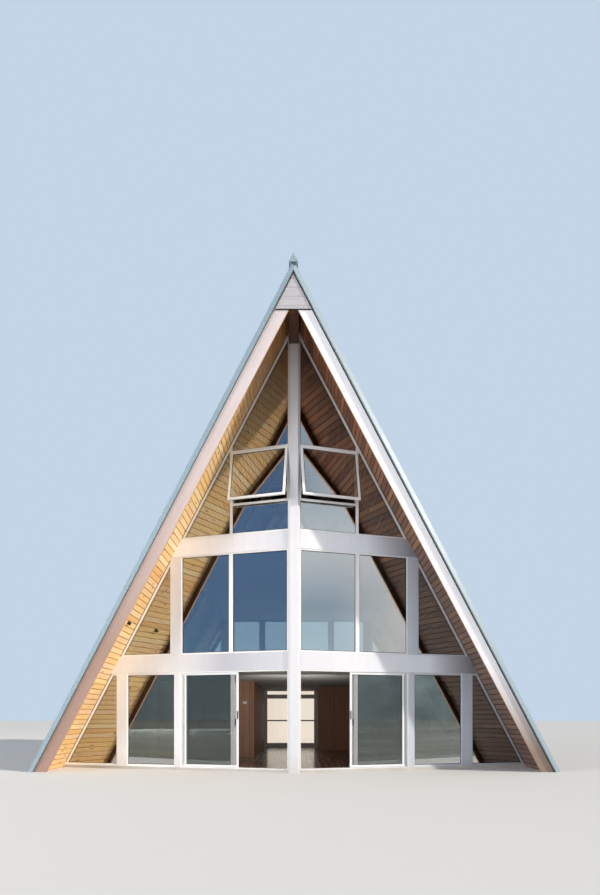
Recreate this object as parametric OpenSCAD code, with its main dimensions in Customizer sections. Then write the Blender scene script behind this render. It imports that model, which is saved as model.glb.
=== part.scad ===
// Three-storey A-frame cabin with a glazed prow at the front
// Millimetres, z up, ground at z = 0. The prow points along -y.
// Sizes along a prow wall are measured from the prow tip, on the slant.

/* [Overall] */
// Width over the two roof feet at the ground
base_w = 10936; // [9600:1:12400]
// Slope of both roof sides, in degrees
roof_angle = 60; // [57:0.5:62]
// Prow tip to the outer face of the back wall
house_l = 9200; // [8400:1:10400]
// Angle each prow wall turns back from straight across, in degrees
prow_angle = 15.6; // [12:0.1:20]

/* [Roof] */
// Whole thickness of a roof side, square to the slope
roof_t = 200; // [170:1:260]
// Thickness of the ceiling and soffit boards
ceiling_t = 38; // [20:1:60]
// Front roof edge behind the prow tip at the ground
front_foot = 280; // [220:1:420]
// Back roof edge behind the back wall at the ground
rear_foot = 280; // [200:1:420]
// Lean of the roof's end edges outwards, in degrees
edge_lean = 8.14; // [5:0.01:11]

/* [Roof edges] */
// Depth of the outer trim, square to the slope
trim_d = 92; // [60:1:120]
// Thickness of the outer trim, along the ridge
trim_t = 90; // [70:1:130]
// Depth of the rake board under the trim
board_d = 245; // [200:1:300]
// Thickness of the rake board
board_t = 40; // [30:1:60]
// Thickness of the panel that closes the peak
peak_t = 22; // [15:1:35]
// Height of the peak panel's lower edge below the roof's apex
peak_drop = 822; // [700:1:1000]
// Gap between the peak panel and the trims beside it
peak_gap = 30; // [15:1:50]

/* [Ridge] */
// Width of the ridge beam
beam_w = 200; // [140:1:260]
// Underside of the ridge beam below the roof's apex
beam_drop = 831; // [760:1:1000]
// Thickness of the ridge cap, square to the slope
cap_t = 38; // [25:1:55]
// Height of the ridge cap from its lower edge to its top
cap_h = 145; // [110:1:220]
// How far the ridge cap passes the trims at each end
cap_over = 25; // [10:1:50]

/* [Storeys] */
// Top of the ground floor and of the door sills
ground_h = 60; // [50:1:90]
// Underside of the lower band, which is the door head
head_z = 2085; // [2000:1:2200]
// Height of each white band
band_h = 370; // [340:1:440]
// Storey height, from one band to the next
storey_h = 2452; // [2400:1:2600]
// Floor thickness inside, boards, joists and ceiling together
floor_t = 330; // [260:1:360]
// Floor boards below the top of the band
floor_drop = 30; // [10:1:45]

/* [Walls] */
// Thickness of the front and back walls
wall_t = 140; // [130:1:160]
// Width of the post at the prow tip
prow_post_w = 236; // [220:1:280]
// Depth of the prow post from front to back
prow_post_d = 250; // [220:1:320]
// Width of the flat face on the prow post's nose
nose_w = 160; // [120:1:180]
// How far that face stands in front of the prow tip
nose_out = 10; // [5:1:20]
// Width of the wide posts between the windows
wide_post_w = 262; // [220:1:300]
// Width of the narrow post beside each door unit
narrow_post_w = 135; // [110:1:160]
// Gap left where pieces meet on a slant
seat = 0.05; // [0.02:0.01:0.5]

/* [Windows] */
// Visible width of a window frame
frame_w = 30; // [22:1:40]
// Visible width of the frame strip under the roof slope
slope_w = 60; // [45:1:80]
// Frame face behind the wall face
frame_set = 14; // [5:1:25]
// Front-to-back depth of the window frames
frame_d = 90; // [70:1:110]
// Thickness of the glass sheets
glass_t = 12; // [8:1:20]
// Glass behind the frame's face
glass_in = 14; // [10:1:50]
// How far the glass is let into its frame
glass_bite = 10; // [6:1:15]
// Width of the first second-floor pane, from the prow post
second_pane_w = 1203; // [1100:1:1300]
// Width of the mullion beside it
second_mullion_w = 88; // [70:1:110]
// Wide post on the second floor to the ceiling at its head; below 0 the slope cuts it
second_post_gap = -32; // [-60:1:120]
// Wide post on the ground floor to the ceiling, level with the post's head
ground_post_gap = 130; // [100:1:300]
// Opening for the awning window to the ceiling, level with its upper corner
awning_gap = 160; // [130:1:280]
// Width of the mullion beside the awning window
third_mullion_w = 64; // [50:1:95]
// Visible width of the fixed frames beside the posts
post_edge = 12; // [8:1:25]
// Visible height of the second-floor frames over the band
second_sill = 30; // [15:1:45]
// How much taller the ground-floor windows' top and bottom rails are
low_rail = 20; // [10:1:40]

/* [Awning windows] */
// Top of the fixed pane below the awning, above the band
awning_low = 598; // [500:1:660]
// Height of the rail under the awning
awning_rail = 48; // [30:1:60]
// Height of the awning opening
awning_h = 1022; // [900:1:1080]
// Height of the transom over the awning
transom_h = 70; // [60:1:120]
// How far each sash is held open, in degrees
awning_open = 11; // [6:0.5:16]
// Width of the sash stiles and bottom rail
sash_w = 50; // [42:1:70]
// Thickness of the sash
sash_t = 30; // [24:1:45]
// How far the sash laps over the frame around it
sash_lap = 22; // [12:1:26]
// Width of the stays that hold the sash open
stay_w = 6; // [4:1:10]
// Depth of the stays
stay_d = 14; // [10:1:20]
// Stays in from the sash's edges
stay_in = 10; // [6:1:20]

/* [Sliding doors] */
// Width of a whole door unit along the wall
door_unit_w = 2400; // [2385:1:2430]
// Thickness of the unit's head, sill strip and jambs
unit_frame_w = 20; // [15:1:25]
// Width of the sliding glass leaf
leaf_w = 1230; // [1180:1:1232]
// Thickness of the glass leaf
leaf_t = 34; // [28:1:38]
// Thickness of the insect screen
screen_t = 20; // [16:1:22]
// Gap between leaves that pass each other
leaf_gap = 8; // [7:1:9]
// Gap above and below each sliding leaf
run_gap = 6; // [6:1:8]
// Width of the glass leaf's stiles
stile_w = 84; // [70:1:95]
// Height of the leaf's bottom rail
bottom_rail = 50; // [40:1:80]
// Height of the leaf's top rail
top_rail = 50; // [40:1:80]
// Visible width of the fixed panel's stile at the unit's frame
fixed_edge = 42; // [30:1:60]
// Width of the screen's rails and stiles
screen_w = 44; // [36:1:60]
// Thickness of the sheet that stands for the mesh
mesh_t = 3; // [2:0.5:5]
// How far the glass leaf stands open
leaf_open = 1096; // [900:1:1100]
// How far the screen stands open
screen_open = 1055; // [850:1:1100]
// Height of the leaf's pull handle
handle_h = 240; // [180:1:300]
// Height of the middle of the handles above the floor
handle_z = 980; // [900:1:1100]
// Width of the handle's back plate
handle_w = 28; // [22:1:36]
// Thickness of the back plate
plate_t = 5; // [3:1:8]
// Diameter of the grip
grip_d = 18; // [14:1:22]
// Back plate to the middle of the grip
grip_out = 27; // [22:1:30]
// Ends of the plate to the feet of the grip
foot_in = 14; // [8:1:30]
// Height of each foot
foot_h = 22; // [16:1:30]
// Height of the screen's pull
pull_h = 120; // [90:1:160]
// How far the screen's pull stands out
pull_out = 8; // [6:1:12]

/* [Inside] */
// Prow tip to the first rafter pair
first_rafter = 4100; // [3900:1:4400]
// Width of a rafter, along the ridge
rafter_w = 120; // [90:1:160]
// Depth of a rafter below the ceiling
rafter_d = 195; // [150:1:230]
// Underside of the collar beams below the roof's apex
collar_drop = 2021; // [1800:1:2200]
// Height of the collar beams
collar_h = 190; // [140:1:220]
// Thickness of the panelled inside walls
partition_t = 110; // [80:1:140]
// Centre line to the left wall of the passage
passage_l = 1110; // [950:1:1140]
// Centre line to the right wall of the passage
passage_r = 690; // [600:1:800]
// Prow tip to the left panelled wall
left_wall_y = 3900; // [3600:1:3950]
// Prow tip to the right panelled wall
right_wall_y = 7200; // [6900:1:7600]
// Clear doorway between each passage wall and the back wall
room_door_w = 850; // [750:1:950]

/* [Back wall] */
// Centre line to the inside of the first posts
rear_bay = 1150; // [1145:1:1250]
// Underside of the rail over the back door
rear_rail_z = 1790; // [1700:1:1850]
// Height of that rail
rear_rail_h = 120; // [90:1:140]
// Height of the back door's bottom rail
rear_kick = 135; // [90:1:200]
// Height of the middle of the bar across the back door
rear_bar_z = 1000; // [900:1:1100]
// Height of that bar from edge to edge
rear_bar_h = 24; // [18:1:40]
// The back door's glass in from the passage walls
rear_glass_in = 60; // [40:1:90]

/* [Hidden] */
half_w = base_w / 2;
apex_z = half_w * tan(roof_angle);
lean = tan(edge_lean);
cap_top = apex_z + cap_t / cos(roof_angle);
front_y = front_foot - cap_top * lean - trim_t - cap_over;
back_y = house_l + rear_foot + cap_top * lean + trim_t + cap_over;
shift_y = -(front_y + back_y) / 2;
deck_t = roof_t - ceiling_t;
past = 500;
under = 10;
beam_z = apex_z - beam_drop;
beam_top = slope_top(roof_t + seat);
post_u = prow_post_w / 2 / cos(prow_angle);
post_y = prow_post_w / 2 * tan(prow_angle);
wall_u = post_u + seat;
post_in_x = prow_post_w / 2 - wall_t * sin(prow_angle);
post_in_y = post_y + wall_t * cos(prow_angle);
band1 = head_z;
band2 = head_z + storey_h;
second_z = band1 + band_h;
third_z = band2 + band_h;
unit_u = post_u + door_unit_w;
far = half_w / cos(prow_angle);
frame_y = frame_set + frame_d;
glass_y = frame_set + glass_in;
awning_z = third_z + awning_low + awning_rail;
second_mullion_u = post_u + second_pane_w;
third_mullion_u = (slope_x(roof_t, awning_z + awning_h) - awning_gap) / cos(prow_angle);
second_post_u = (slope_x(roof_t, band2) - second_post_gap) / cos(prow_angle) - wide_post_w;
ground_post_u = (slope_x(roof_t, band1) - ground_post_gap) / cos(prow_angle) - wide_post_w;
rear_wide_x = slope_x(roof_t, band2) - second_post_gap - wide_post_w;
collar_z = apex_z - collar_drop;
hinge_z = awning_z + awning_h + sash_lap;
sash_h = awning_h + 2 * sash_lap;
sash_u0 = post_u + frame_w - sash_lap;
sash_u1 = third_mullion_u + sash_lap;
run_u = post_u + unit_frame_w + run_gap;
run_z0 = ground_h + unit_frame_w + run_gap;
run_z1 = head_z - unit_frame_w - run_gap;
screen_y = (wall_t - screen_t - 2 * leaf_t - 2 * leaf_gap) / 2;
fixed_y = screen_y + screen_t + leaf_gap;
leaf_y = fixed_y + leaf_t + leaf_gap;
fixed_u = run_u + leaf_w - stile_w + leaf_gap;
run_free = unit_u - unit_frame_w - run_gap - run_u - leaf_w;
leaf_at = min(leaf_open, run_free);
screen_at = min(screen_open, run_free);
leaf_glass_y = leaf_y + leaf_t / 2 - glass_t / 2;
fixed_glass_y = fixed_y + leaf_t / 2 - glass_t / 2;

// half width of the line that lies d inside the roof's outer face, at height z
function slope_x(d, z) = half_w - d / sin(roof_angle) - z / tan(roof_angle);
// height where the two lines that lie d inside the outer faces meet
function slope_top(d) = apex_z - d / cos(roof_angle);

// moves the whole house so the box around it is centred on the origin
module house() {
  translate([0, shift_y, 0]) children();
}

// a drawing in x and z, carried from y0 back to y1
module along_y(y0, y1) {
  translate([0, y1, 0]) rotate([90, 0, 0]) linear_extrude(y1 - y0) children();
}

// the right half, or its mirror image on the left
module side(s) {
  if (s > 0) children();
  else mirror([1, 0, 0]) children();
}

// the slab between the leaning front edge and the leaning back edge,
// both moved outwards by out, and carried across the whole width
module between_edges(out = 0) {
  top = cap_top + past;
  rotate([90, 0, 90]) translate([0, 0, -base_w]) linear_extrude(2 * base_w) polygon([
    [front_foot - out, 0],
    [house_l + rear_foot + out, 0],
    [house_l + rear_foot + out + top * lean, top],
    [front_foot - out - top * lean, top]
  ]);
}

// one leaf of the slope, from d0 to d1 inside the roof's outer face, right half
module slope_leaf(d0, d1, z0 = 0) {
  polygon([
    [slope_x(d1, z0), z0],
    [slope_x(d0, z0), z0],
    [0, slope_top(d0)],
    [0, slope_top(d1)]
  ]);
}

// the slope leaf along the whole roof, ended by the leaning edges
module roof_leaf(d0, d1) {
  intersection() {
    along_y(front_y - past, back_y + past) slope_leaf(d0, d1);
    between_edges();
  }
}

// a strip on the two end edges, from near to out in front of each edge
module edge_strips(near, out) {
  difference() {
    intersection() {
      along_y(front_y - past, back_y + past) children();
      between_edges(out);
    }
    between_edges(near);
  }
}

// everything inside the ceiling boards less d more, both halves
module room(d = 0) {
  w = slope_x(roof_t + seat + d, -under);
  along_y(-past, house_l + past) polygon([[-w, -under], [w, -under], [0, slope_top(roof_t + seat + d)]]);
}

// a box on a wall: from u0 to u1 along it, z0 to z1 up, y0 to y1 into the house
module on_wall(back, u0, u1, z0, z1, y0, y1) {
  if (back) translate([u0, house_l - y1, z0]) cube([u1 - u0, y1 - y0, z1 - z0]);
  else rotate([0, 0, prow_angle]) translate([u0, y0, z0]) cube([u1 - u0, y1 - y0, z1 - z0]);
}

// the same box, kept inside the roof slope
module bay(back, u0, u1, z0, z1, y0, y1, d = 0) {
  intersection() {
    on_wall(back, u0, u1, z0, z1, y0, y1);
    room(d);
  }
}

// a pane's hole through its frame
module hole(back, p) {
  bay(back, p[0], p[1], p[2], p[3], -under, wall_t + under, slope_w);
}

// the glass sheet of one pane, let into the frame all round
module pane(back, p, y = glass_y) {
  b = min(glass_bite, post_edge - 2);
  bay(back, p[0] - b, p[1] + b, p[2] - b, p[3] + b, y, y + glass_t, slope_w - b);
}

// Roof

module roof(s) {
  color("#9a8f80") house() side(s) roof_leaf(0, deck_t);
}
module left_roof() {
  roof(-1);
}
module right_roof() {
  roof(1);
}

// tongue-and-groove boards, the ceiling inside and the soffit outside
module ceiling(s) {
  color("#c98f5a") house() side(s) roof_leaf(deck_t, roof_t);
}
module left_ceiling() {
  ceiling(-1);
}
module right_ceiling() {
  ceiling(1);
}

// five-sided beam that fills the angle under the ridge
module beam_section() {
  w = beam_w / 2;
  shoulder = beam_top - w * tan(roof_angle);
  polygon([[-w, beam_z], [w, beam_z], [w, shoulder], [0, beam_top], [-w, shoulder]]);
}
module beam_run() {
  along_y(front_y - past, back_y + past) beam_section();
}
module ridge_beam() {
  color("#5d4230") house() intersection() {
    beam_run();
    between_edges();
  }
}

// folded cap over the ridge, closed by a triangle in front of the trims
module ridge_cap() {
  z0 = cap_top - cap_h;
  color("#cfd2cd") house() {
    intersection() {
      along_y(front_y - past, back_y + past) polygon([
        [-slope_x(-cap_t, z0), z0], [-slope_x(-seat, z0), z0], [0, slope_top(-seat)],
        [slope_x(-seat, z0), z0], [slope_x(-cap_t, z0), z0], [0, cap_top]
      ]);
      between_edges(trim_t + cap_over);
    }
    edge_strips(trim_t + seat, trim_t + cap_over)
      polygon([[-slope_x(-cap_t, z0), z0], [slope_x(-cap_t, z0), z0], [0, cap_top]]);
  }
}

module rake_trims(s) {
  color("#c3c6bf") house() side(s) edge_strips(0, trim_t) slope_leaf(0, trim_d);
}
module left_rake_trims() {
  rake_trims(-1);
}
module right_rake_trims() {
  rake_trims(1);
}

module rake_boards(s) {
  color("#efe6df") house() side(s) edge_strips(0, board_t) slope_leaf(trim_d, trim_d + board_d);
}
module left_rake_boards() {
  rake_boards(-1);
}
module right_rake_boards() {
  rake_boards(1);
}

// triangular panel over the meeting rake boards, at both ends
module peak_panels() {
  d = trim_d + peak_gap;
  z0 = apex_z - peak_drop;
  color("#e4e2dc") house() edge_strips(board_t, board_t + peak_t)
    polygon([[-slope_x(d, z0), z0], [slope_x(d, z0), z0], [0, slope_top(d)]]);
}

// Frame inside

rafter_gap = (house_l - first_rafter) / 2;

// the rafters of one side, or with out the notches that they need in a floor
module rafters_at(s, out = 0) {
  for (y = [first_rafter, first_rafter + rafter_gap])
    side(s) along_y(y, y + rafter_w) difference() {
      slope_leaf(roof_t + (out > 0 ? -out : seat), roof_t + rafter_d);
      translate([-1, beam_z]) square([beam_w / 2 + 1, beam_drop]);
    }
}
module rafters() {
  color("#5a4132") house() for (s = [-1, 1]) rafters_at(s);
}

module collar_beams() {
  z1 = collar_z + collar_h;
  d = roof_t + rafter_d + seat;
  color("#5a4132") house() for (y = [first_rafter, first_rafter + rafter_gap])
    along_y(y, y + rafter_w) polygon([
      [-slope_x(d, collar_z), collar_z], [slope_x(d, collar_z), collar_z],
      [slope_x(d, z1), z1], [-slope_x(d, z1), z1]
    ]);
}

// a floor that follows the prow and is cut round the post and the rafters
module floor_plate(z0, z1) {
  w = half_w;
  y1 = house_l - wall_t;
  front = post_in_y + seat / cos(prow_angle);
  y0 = front + (w - post_in_x) * tan(prow_angle);
  difference() {
    intersection() {
      translate([0, 0, z0]) linear_extrude(z1 - z0) polygon([
        [post_in_x, prow_post_d], [post_in_x, front], [w, y0], [w, y1],
        [-w, y1], [-w, y0], [-post_in_x, front], [-post_in_x, prow_post_d]
      ]);
      room();
    }
    for (s = [-1, 1]) rafters_at(s, 60);
  }
}
module ground_floor() {
  color("#6b4a33") house() floor_plate(0, ground_h);
}
module second_floor() {
  z = second_z - floor_drop;
  color("#8a6a4c") house() floor_plate(z - floor_t, z);
}
module third_floor() {
  z = third_z - floor_drop;
  color("#8a6a4c") house() floor_plate(z - floor_t, z);
}

// Prow walls

// the post's plan: a flat nose, bevels back to the wall faces, then sides square
// to each wall so that the walls butt against it
module post_block() {
  w = prow_post_w / 2;
  n = nose_w / 2;
  linear_extrude(apex_z) polygon([
    [-n, -nose_out], [n, -nose_out], [w, post_y], [post_in_x, post_in_y], [post_in_x, prow_post_d],
    [-post_in_x, prow_post_d], [-post_in_x, post_in_y], [-w, post_y]
  ]);
}
module prow_post() {
  color("#f2f1ee") house() difference() {
    intersection() {
      post_block();
      room();
    }
    beam_run();
  }
}

module both_walls(z0, z1, y1 = wall_t) {
  for (s = [-1, 1]) side(s) bay(false, wall_u, far, z0, z1, 0, y1);
}
module sills() {
  color("#d9d8d2") house() both_walls(0, ground_h);
}
module lower_bands() {
  color("#f4f3f0") house() both_walls(band1, second_z);
}
module upper_bands() {
  color("#f4f3f0") house() both_walls(band2, third_z);
}

// the posts that stand between the windows
module wall_posts() {
  color("#f4f3f0") house() for (s = [-1, 1]) side(s) {
    bay(false, unit_u + seat, unit_u + narrow_post_w, ground_h, band1, 0, wall_t);
    bay(false, ground_post_u, ground_post_u + wide_post_w, ground_h, band1, 0, wall_t);
    bay(false, second_post_u, second_post_u + wide_post_w, second_z, band2, 0, wall_t);
  }
}

// panes as [u0, u1, z0, z1]; the roof slope trims the outer ones
f = frame_w;
low_z = ground_h + f + low_rail;
low_top = band1 - f - low_rail;
mid_z = second_z + second_sill;
pane_low = [unit_u + narrow_post_w + post_edge, ground_post_u - post_edge, low_z, low_top];
pane_low_out = [ground_post_u + wide_post_w + post_edge, far, low_z, low_top];
pane_fixed = [
  fixed_u + stile_w, unit_u - unit_frame_w - fixed_edge, ground_h + unit_frame_w + bottom_rail,
  band1 - unit_frame_w - top_rail
];
pane_mid = [post_u + f, second_mullion_u, mid_z, band2 - f];
pane_mid2 = [second_mullion_u + second_mullion_w, second_post_u - post_edge, mid_z, band2 - f];
pane_mid_out = [second_post_u + wide_post_w + post_edge, far, mid_z, band2 - f];
pane_up = [post_u + post_edge, third_mullion_u, third_z + f, third_z + awning_low];
hole_awning = [post_u + f, third_mullion_u, awning_z, awning_z + awning_h];
pane_top = [post_u + post_edge, third_mullion_u, awning_z + awning_h + transom_h, apex_z];
pane_up_out = [third_mullion_u + third_mullion_w, far, third_z + f, apex_z];

module ground_frames(s) {
  color("#f1f0ec") house() side(s) {
    // door unit: outer frame in the wall's full depth, and the fixed panel
    difference() {
      bay(false, wall_u, unit_u, ground_h, band1, 0, wall_t);
      on_wall(false, 0, unit_u - unit_frame_w, ground_h + unit_frame_w, band1 - unit_frame_w,
              -under, wall_t + under);
    }
    door_jamb();
    difference() {
      on_wall(false, fixed_u, unit_u - unit_frame_w, ground_h + unit_frame_w,
              band1 - unit_frame_w, fixed_y, fixed_y + leaf_t);
      hole(false, pane_fixed);
      pane(false, pane_fixed, fixed_glass_y);
    }
    // fixed window and the triangle beside it
    window_frame(unit_u + narrow_post_w, ground_post_u, ground_h, band1, [pane_low]);
    window_frame(ground_post_u + wide_post_w, far, ground_h, band1, [pane_low_out]);
  }
}
module left_ground_frames() {
  ground_frames(-1);
}
module right_ground_frames() {
  ground_frames(1);
}

// the thin jamb on the prow post that the leaves close against
module door_jamb() {
  bay(false, wall_u, post_u + unit_frame_w, ground_h, band1, 0, wall_t);
}

// one window frame with its holes and glass grooves
module window_frame(u0, u1, z0, z1, panes) {
  difference() {
    bay(false, u0 + seat, u1 - seat, z0, z1, frame_set, frame_y);
    for (p = panes) {
      hole(false, p);
      pane(false, p);
    }
  }
}

module second_frames(s) {
  color("#f1f0ec") house() side(s) {
    window_frame(post_u, second_post_u, second_z, band2, [pane_mid, pane_mid2]);
    window_frame(second_post_u + wide_post_w, far, second_z, band2, [pane_mid_out]);
  }
}
module left_second_frames() {
  second_frames(-1);
}
module right_second_frames() {
  second_frames(1);
}

module third_frame(s) {
  color("#f1f0ec") house() side(s) difference() {
    window_frame(post_u, far, third_z, apex_z, [pane_up, pane_top, pane_up_out]);
    hole(false, hole_awning);
    beam_run();
  }
}
module left_third_frame() {
  third_frame(-1);
}
module right_third_frame() {
  third_frame(1);
}

module ground_glass() {
  color("#9fb8b8", 0.4) house() for (s = [-1, 1]) side(s) {
    pane(false, pane_fixed, fixed_glass_y);
    pane(false, pane_low);
    pane(false, pane_low_out);
  }
}
module second_glass() {
  color("#9fb8b8", 0.4) house() for (s = [-1, 1]) side(s) {
    pane(false, pane_mid);
    pane(false, pane_mid2);
    pane(false, pane_mid_out);
  }
}
module third_glass() {
  color("#9fb8b8", 0.4) house() for (s = [-1, 1]) side(s) {
    pane(false, pane_up);
    pane(false, pane_top);
    pane(false, pane_up_out);
  }
}

// Awning windows

// the hinge line, on the frame's face at the top of the sash
module awning_place(s) {
  house() side(s) rotate([0, 0, prow_angle]) translate([0, frame_set, hinge_z]) children();
}
module sash_place(s) {
  awning_place(s) rotate([-awning_open, 0, 0]) children();
}
module sash_sheet() {
  w = sash_w - glass_bite;
  translate([sash_u0 + w, -sash_t / 2 - glass_t / 2, w - sash_h])
    cube([sash_u1 - sash_u0 - 2 * w, glass_t, sash_h - 2 * w]);
}
// a stay from the frame to the sash, cut off flush with the frame's face
module stay(u) {
  reach = 0.72 * sash_h;
  foot = sash_h - sash_lap - awning_rail;
  out = reach * sin(awning_open);
  rise = foot - reach * cos(awning_open);
  intersection() {
    translate([u, 0, -foot]) rotate([atan2(out, rise), 0, 0])
      translate([0, -stay_d / 3, -3 * stay_d]) cube([stay_w, stay_d, norm([out, rise]) + 3.3 * stay_d]);
    translate([0, -sash_h, -2 * sash_h]) cube([far, sash_h, 2 * sash_h]);
  }
}
module awning(s) {
  color("#f6f5f2") {
    sash_place(s) difference() {
      translate([sash_u0, -sash_t, -sash_h]) cube([sash_u1 - sash_u0, sash_t, sash_h]);
      translate([sash_u0 + sash_w, -sash_t - under, sash_w - sash_h])
        cube([sash_u1 - sash_u0 - 2 * sash_w, sash_t + 2 * under, sash_h - 2 * sash_w]);
      sash_sheet();
    }
    awning_place(s) {
      stay(sash_u0 + stay_in);
      stay(sash_u1 - stay_in - stay_w);
    }
  }
}
module left_awning() {
  awning(-1);
}
module right_awning() {
  awning(1);
}
module awning_glass() {
  color("#9fb8b8", 0.4) for (s = [-1, 1]) sash_place(s) sash_sheet();
}

// Sliding doors and their insect screens, standing open as found

module slid(s, open) {
  house() side(s) rotate([0, 0, prow_angle]) translate([run_u + open, 0, 0]) children();
}
module leaf_light(grow) {
  translate([stile_w - grow, 0, run_z0 + bottom_rail - unit_frame_w - grow])
    cube([leaf_w - 2 * stile_w + 2 * grow, 2 * wall_t,
          run_z1 - run_z0 - bottom_rail - top_rail + 2 * unit_frame_w + 2 * grow]);
}
module leaf_sheet() {
  intersection() {
    leaf_light(glass_bite);
    translate([0, leaf_glass_y, 0]) cube([leaf_w, glass_t, apex_z]);
  }
}
module door_leaf(s) {
  color("#f1f0ec") slid(s, leaf_at) difference() {
    translate([0, leaf_y, run_z0]) cube([leaf_w, leaf_t, run_z1 - run_z0]);
    leaf_light(0);
    leaf_sheet();
  }
}
module left_door() {
  door_leaf(-1);
}
module right_door() {
  door_leaf(1);
}
module left_door_glass() {
  color("#9fb8b8", 0.4) slid(-1, leaf_at) leaf_sheet();
}
module right_door_glass() {
  color("#9fb8b8", 0.4) slid(1, leaf_at) leaf_sheet();
}

// bow handle on the inside of the leaf, back plate and grip
module door_handle(s) {
  z = ground_h + handle_z - handle_h / 2;
  grip_x = (handle_w - grip_d) / 2;
  color("#33353a") slid(s, leaf_at) translate([(stile_w - handle_w) / 2, leaf_y + leaf_t, z]) {
    cube([handle_w, plate_t, handle_h]);
    translate([grip_x, plate_t, foot_in]) cube([grip_d, grip_out, foot_h]);
    translate([grip_x, plate_t, handle_h - foot_in - foot_h]) cube([grip_d, grip_out, foot_h]);
    translate([handle_w / 2, plate_t + grip_out, foot_in])
      cylinder(d = grip_d, h = handle_h - 2 * foot_in, $fn = 32);
  }
}
module left_door_handle() {
  door_handle(-1);
}
module right_door_handle() {
  door_handle(1);
}

// insect screen: a light frame with the mesh as one thin sheet
module screen(s) {
  w = leaf_w;
  h = run_z1 - run_z0;
  color("#e8e8e5") slid(s, screen_at) translate([0, screen_y, run_z0]) {
    difference() {
      cube([w, screen_t, h]);
      translate([screen_w, -under, screen_w])
        cube([w - 2 * screen_w, screen_t + 2 * under, h - 2 * screen_w]);
    }
    translate([screen_w - 1, (screen_t - mesh_t) / 2, screen_w - 1])
      cube([w - 2 * screen_w + 2, mesh_t, h - 2 * screen_w + 2]);
    translate([screen_w / 2 - pull_out, -pull_out, handle_z - pull_h / 2])
      cube([2 * pull_out, pull_out + 1, pull_h]);
  }
}
module left_screen() {
  screen(-1);
}
module right_screen() {
  screen(1);
}

// Back wall, flat across, with the same bands and posts

module back_both() {
  color("#f4f3f0") house() for (s = [-1, 1]) side(s) children();
}
module back_bands() {
  color("#f4f3f0") house() for (z = [[0, ground_h], [band1, second_z], [band2, third_z]])
    bay(true, -half_w, half_w, z[0], z[1], 0, wall_t);
}
rear_wide = rear_wide_x + wide_post_w;
module back_posts() {
  back_both() {
    bay(true, rear_bay, rear_bay + narrow_post_w, ground_h, band1, 0, wall_t);
    bay(true, rear_wide_x, rear_wide, ground_h, band1, 0, wall_t);
    bay(true, rear_bay, rear_bay + narrow_post_w, second_z, band2, 0, wall_t);
    bay(true, rear_wide_x, rear_wide, second_z, band2, 0, wall_t);
    bay(true, rear_bay, rear_bay + narrow_post_w, third_z, apex_z, 0, wall_t);
  }
}

back_out_low = [rear_wide + f, half_w, low_z, low_top];
back_side_low = [rear_bay + narrow_post_w + f, rear_wide_x - f, low_z, low_top];
back_out_mid = [rear_wide + f, half_w, second_z + f, band2 - f];
back_side_mid = [rear_bay + narrow_post_w + f, rear_wide_x - f, second_z + f, band2 - f];
back_centre_mid = [f, rear_bay - f, second_z + f, band2 - f];
back_out_up = [rear_bay + narrow_post_w + f, half_w, third_z + f, apex_z];
back_low_up = [f, rear_bay - f, third_z + f, third_z + awning_low];
back_centre_up = [f, rear_bay - f, third_z + awning_low + transom_h, beam_z - f];

// the back door's panes: to the passage wall on the left, the kitchen wall on the right
function door_pane(w, z0, z1) = [f, w, z0, z1];
function door_panes(w) = [
  door_pane(w, ground_h + rear_kick, rear_bar_z - rear_bar_h / 2),
  door_pane(w, rear_bar_z + rear_bar_h / 2, rear_rail_z),
  door_pane(w, rear_rail_z + rear_rail_h, band1 - f)
];

module back_frame_block(u0, u1, z0, z1) {
  bay(true, u0, u1, z0, z1, frame_set, frame_y);
}
function back_panes(s) = concat(
  [back_out_low, back_side_low, back_out_mid, back_side_mid, back_centre_mid,
   back_out_up, back_low_up, back_centre_up],
  door_panes((s > 0 ? passage_r : passage_l) - rear_glass_in)
);
module back_frames() {
  color("#f1f0ec") house() difference() {
    union() for (s = [-1, 1]) side(s) {
      back_frame_block(-1, rear_bay, ground_h, band1);
      back_frame_block(rear_bay + narrow_post_w, rear_wide_x, ground_h, band1);
      back_frame_block(rear_wide, half_w, ground_h, band1);
      back_frame_block(-1, rear_bay, second_z, band2);
      back_frame_block(rear_bay + narrow_post_w, rear_wide_x, second_z, band2);
      back_frame_block(rear_wide, half_w, second_z, band2);
      back_frame_block(-1, rear_bay, third_z, apex_z);
      back_frame_block(rear_bay + narrow_post_w, half_w, third_z, apex_z);
    }
    for (s = [-1, 1]) side(s) for (p = back_panes(s)) {
      hole(true, p);
      pane(true, p);
    }
    beam_run();
  }
}
module back_glass() {
  color("#9fb8b8", 0.4) house() for (s = [-1, 1]) side(s)
    for (p = back_panes(s)) pane(true, p);
}

// Panelled inside walls on the ground floor

module inside_block(s, x0, x1, y0, y1) {
  difference() {
    side(s) intersection() {
      translate([x0, y0, ground_h])
        cube([x1 - x0, y1 - y0, second_z - floor_drop - floor_t - ground_h]);
      room();
    }
    rafters_at(s);
  }
}
module left_partition() {
  color("#5b3a26") house() inside_block(-1, passage_l, half_w, left_wall_y, left_wall_y + partition_t);
}
module left_passage_wall() {
  color("#5b3a26") house() inside_block(-1, passage_l, passage_l + partition_t,
    left_wall_y + partition_t, house_l - wall_t - room_door_w);
}
module right_partition() {
  color("#5b3a26") house() inside_block(1, passage_r, half_w, right_wall_y, right_wall_y + partition_t);
}
module right_passage_wall() {
  color("#5b3a26") house() inside_block(1, passage_r, passage_r + partition_t,
    right_wall_y + partition_t, house_l - wall_t - room_door_w);
}

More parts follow.
